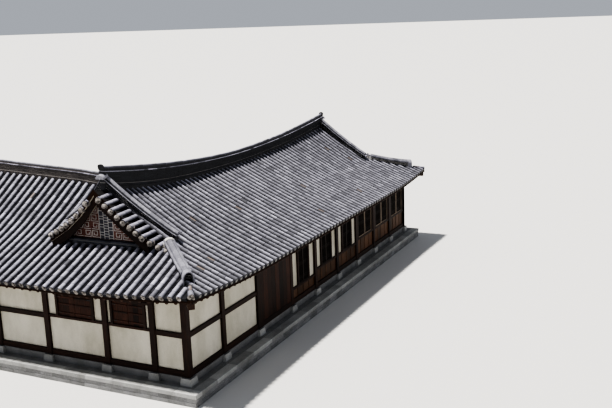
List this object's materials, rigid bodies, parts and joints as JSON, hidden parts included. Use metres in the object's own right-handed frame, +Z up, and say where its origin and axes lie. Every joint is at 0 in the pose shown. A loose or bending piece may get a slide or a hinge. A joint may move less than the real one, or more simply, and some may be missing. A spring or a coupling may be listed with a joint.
{
  "type": "hanok house",
  "caption": "L-shaped Korean timber house on a stone plinth, with hip-and-gable tiled roofs, plaster walls between dark posts and a plank double door.",
  "frame": {"origin": "on the ground, at the middle of the eaves' outline in plan", "axes": "+X along the long arm's ridge, away from the near gable; +Y towards the wing's end; +Z up"},
  "size_m": [24.05, 17.65, 7.4537],
  "materials": {
    "tile": "matt grey fired-clay roof tiles, worn lighter along their crowns",
    "brick": "matt red and grey brick with pale mortar",
    "timber": "dark oiled brown timber",
    "door_planks": "dark oiled brown planks",
    "plaster": "matt off-white lime plaster",
    "stone": "grey dressed granite",
    "floor_boards": "brown oiled boards"
  },
  "bodies": {
    "house": {"roof_main_front": "tile", "roof_main_back": "tile", "roof_near_gable_back": "tile", "roof_wing_front": "tile", "roof_wing_back": "tile", "roof_far_hip": "tile", "roof_wing_hip": "tile", "main_ridge": "tile", "wing_ridge": "tile", "near_gable_verge_ridge_1": "tile", "near_gable_verge_ridge_2": "tile", "near_hip_ridge_1": "tile", "far_gable_verge_ridge_1": "tile", "far_gable_verge_ridge_2": "tile", "far_hip_ridge_1": "tile", "far_hip_ridge_2": "tile", "wing_gable_verge_ridge_1": "tile", "wing_gable_verge_ridge_2": "tile", "wing_hip_ridge_1": "tile", "wing_hip_ridge_2": "tile", "near_gable_coping": "tile", "far_gable_coping": "tile", "wing_gable_coping": "tile", "near_gable_wall": "brick", "far_gable_wall": "brick", "wing_gable_wall": "brick", "west_timber_frame": "timber", "rear_timber_frame": "timber", "far_end_timber_frame": "timber", "wing_inner_timber_frame": "timber", "wing_end_timber_frame": "timber", "front_timber_frame_left": "timber", "front_timber_frame_right": "timber", "front_top_plate": "timber", "door_threshold": "timber", "door_lintel": "timber", "near_gable_bargeboards": "timber", "far_gable_bargeboards": "timber", "wing_gable_bargeboards": "timber", "west_plaster_wall": "plaster", "rear_plaster_wall": "plaster", "far_end_plaster_wall": "plaster", "wing_inner_plaster_wall": "plaster", "wing_end_plaster_wall": "plaster", "front_plaster_wall_left": "plaster", "front_plaster_wall_right": "plaster", "front_plaster_over_door": "plaster", "stone_plinth": "stone", "raised_floor": "floor_boards"},
    "left_door": {"door_leaf_left": "door_planks"},
    "right_door": {"door_leaf_right": "door_planks"}
  },
  "joints": [
    {"name": "left_door_swing", "type": "hinge", "parent": "house", "child": "left_door", "pos_m": [-5.989, -7.845, 2], "axis": [0, 0, -1], "range_deg": [0, 90]},
    {"name": "right_door_swing", "type": "hinge", "parent": "house", "child": "right_door", "pos_m": [-3.411, -7.845, 2], "axis": [0, 0, 1], "range_deg": [0, 90]}
  ]
}
